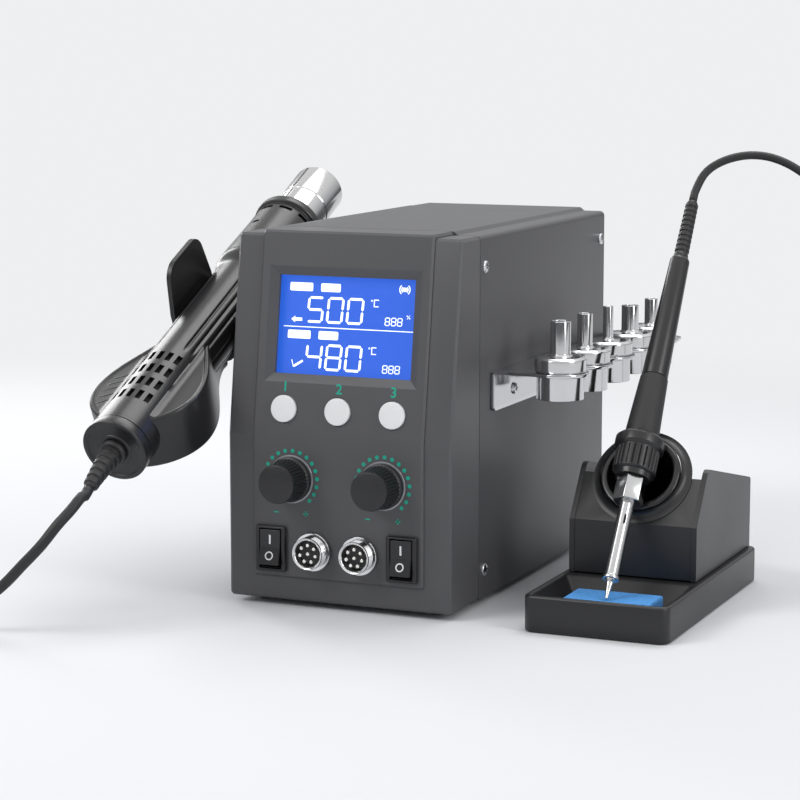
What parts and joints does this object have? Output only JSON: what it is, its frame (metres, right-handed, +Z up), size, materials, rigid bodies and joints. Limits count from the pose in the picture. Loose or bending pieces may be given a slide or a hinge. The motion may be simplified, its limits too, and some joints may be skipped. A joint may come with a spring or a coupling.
{
  "type": "hot_air_rework_station",
  "caption": "Hot air rework station: cabinet with screen and knobs, hot air gun in its cradle, nozzle rack, and a soldering iron on its own stand",
  "frame": {"origin": "middle of the set's footprint on the bench, without the cords", "axes": "X to the right along the cabinet's front, Y from the front to the rear, Z up"},
  "size_m": [0.5286, 0.316, 0.2042],
  "materials": {
    "grey_plastic": "fine texture",
    "grey_paint": "powder coat",
    "black_paint": "satin powder coat",
    "zinc_steel": "plain sheet",
    "black_rubber": "matt",
    "clear_window": "clear",
    "blue_display": "lit blue screen",
    "circuit_board": "solder mask",
    "brass": "dull",
    "white_plastic": "satin",
    "black_plastic": "satin",
    "black_gloss": "gloss",
    "chrome": "bright plating",
    "blue_sponge": "open cells"
  },
  "bodies": {
    "cabinet": {"front_bezel": "grey_plastic", "cover": "grey_paint", "chassis": "zinc_steel", "foot_1": "black_rubber", "foot_2": "black_rubber", "foot_3": "black_rubber", "foot_4": "black_rubber", "lcd_window": "clear_window", "lcd_module": "blue_display", "display_board": "circuit_board", "control_board": "circuit_board", "power_transformer": "zinc_steel", "mains_inlet": "black_plastic", "air_pot": "brass", "heat_pot": "brass", "air_switch_body": "black_plastic", "iron_switch_body": "black_plastic", "air_socket": "chrome", "iron_socket": "chrome", "air_socket_insert": "black_plastic", "iron_socket_insert": "black_plastic", "gun_holder": "black_paint", "nozzle_rack": "chrome", "gun_cord": "black_rubber", "gun_cord_coil": "black_rubber", "gun_plug": "chrome"},
    "button_1": {"button_1": "white_plastic"},
    "button_2": {"button_2": "white_plastic"},
    "button_3": {"button_3": "white_plastic"},
    "air_knob": {"air_knob": "black_plastic"},
    "heat_knob": {"heat_knob": "black_plastic"},
    "air_rocker": {"air_rocker": "black_gloss"},
    "iron_rocker": {"iron_rocker": "black_gloss"},
    "nozzle_1": {"nozzle_1": "chrome"},
    "nozzle_2": {"nozzle_2": "chrome"},
    "nozzle_3": {"nozzle_3": "chrome"},
    "nozzle_4": {"nozzle_4": "chrome"},
    "nozzle_5": {"nozzle_5": "chrome"},
    "gun": {"gun_shell": "black_plastic", "gun_back_cover": "black_plastic", "gun_end_cap": "black_plastic", "gun_fan_motor": "zinc_steel", "gun_collar": "black_plastic", "gun_barrel": "chrome", "gun_heater": "zinc_steel", "gun_strain_relief": "black_rubber"},
    "impeller": {"gun_impeller": "white_plastic"},
    "stand": {"stand_base": "black_plastic", "stand_housing": "black_plastic", "stand_funnel": "black_plastic", "sponge": "blue_sponge", "iron_cord": "black_rubber", "iron_cord_coil": "black_rubber", "iron_plug": "chrome"},
    "iron": {"iron_handle": "black_plastic", "iron_grip": "black_rubber", "iron_collar_nut": "black_plastic", "iron_barrel": "chrome", "iron_tip": "chrome", "iron_strain_relief": "black_rubber"}
  },
  "joints": [
    {"name": "button_1_press", "type": "slide", "parent": "cabinet", "child": "button_1", "axis": [0, 0.99, -0.1409], "range_m": [0, 0.001], "stiffness_N_per_m": 600},
    {"name": "button_2_press", "type": "slide", "parent": "cabinet", "child": "button_2", "axis": [0, 0.99, -0.1409], "range_m": [0, 0.001], "stiffness_N_per_m": 600},
    {"name": "button_3_press", "type": "slide", "parent": "cabinet", "child": "button_3", "axis": [0, 0.99, -0.1409], "range_m": [0, 0.001], "stiffness_N_per_m": 600},
    {"name": "air_knob_turn", "type": "hinge", "parent": "cabinet", "child": "air_knob", "pos_m": [-0.04445, -0.07882, 0.0595], "axis": [0, 1, 0], "range_deg": [-135, 135]},
    {"name": "heat_knob_turn", "type": "hinge", "parent": "cabinet", "child": "heat_knob", "pos_m": [0.00095, -0.07882, 0.0595], "axis": [0, 1, 0], "range_deg": [-135, 135]},
    {"name": "air_rocker_tilt", "type": "hinge", "parent": "cabinet", "child": "air_rocker", "pos_m": [-0.05415, -0.07632, 0.027], "axis": [1, 0, 0], "range_deg": [0, 16]},
    {"name": "iron_rocker_tilt", "type": "hinge", "parent": "cabinet", "child": "iron_rocker", "pos_m": [0.01065, -0.07632, 0.027], "axis": [1, 0, 0], "range_deg": [0, 16]},
    {"name": "nozzle_1_lift", "type": "slide", "parent": "cabinet", "child": "nozzle_1", "axis": [0, 0, 1], "range_m": [0, 0.03]},
    {"name": "nozzle_2_lift", "type": "slide", "parent": "cabinet", "child": "nozzle_2", "axis": [0, 0, 1], "range_m": [0, 0.03]},
    {"name": "nozzle_3_lift", "type": "slide", "parent": "cabinet", "child": "nozzle_3", "axis": [0, 0, 1], "range_m": [0, 0.03]},
    {"name": "nozzle_4_lift", "type": "slide", "parent": "cabinet", "child": "nozzle_4", "axis": [0, 0, 1], "range_m": [0, 0.03]},
    {"name": "nozzle_5_lift", "type": "slide", "parent": "cabinet", "child": "nozzle_5", "axis": [0, 0, 1], "range_m": [0, 0.03]},
    {"name": "gun_lift", "type": "slide", "parent": "cabinet", "child": "gun", "axis": [0, -0.4352, 0.9003], "range_m": [0, 0.05]},
    {"name": "impeller_spin", "type": "hinge", "parent": "gun", "child": "impeller", "pos_m": [-0.10775, -0.09361, 0.09234], "axis": [0, -0.4352, 0.9003], "continuous": true},
    {"name": "stand_shift", "type": "slide", "parent": "cabinet", "child": "stand", "axis": [1, 0, 0], "range_m": [0, 0.04]},
    {"name": "iron_lift", "type": "slide", "parent": "stand", "child": "iron", "axis": [0, -0.809, 0.5878], "range_m": [0, 0.04]}
  ]
}
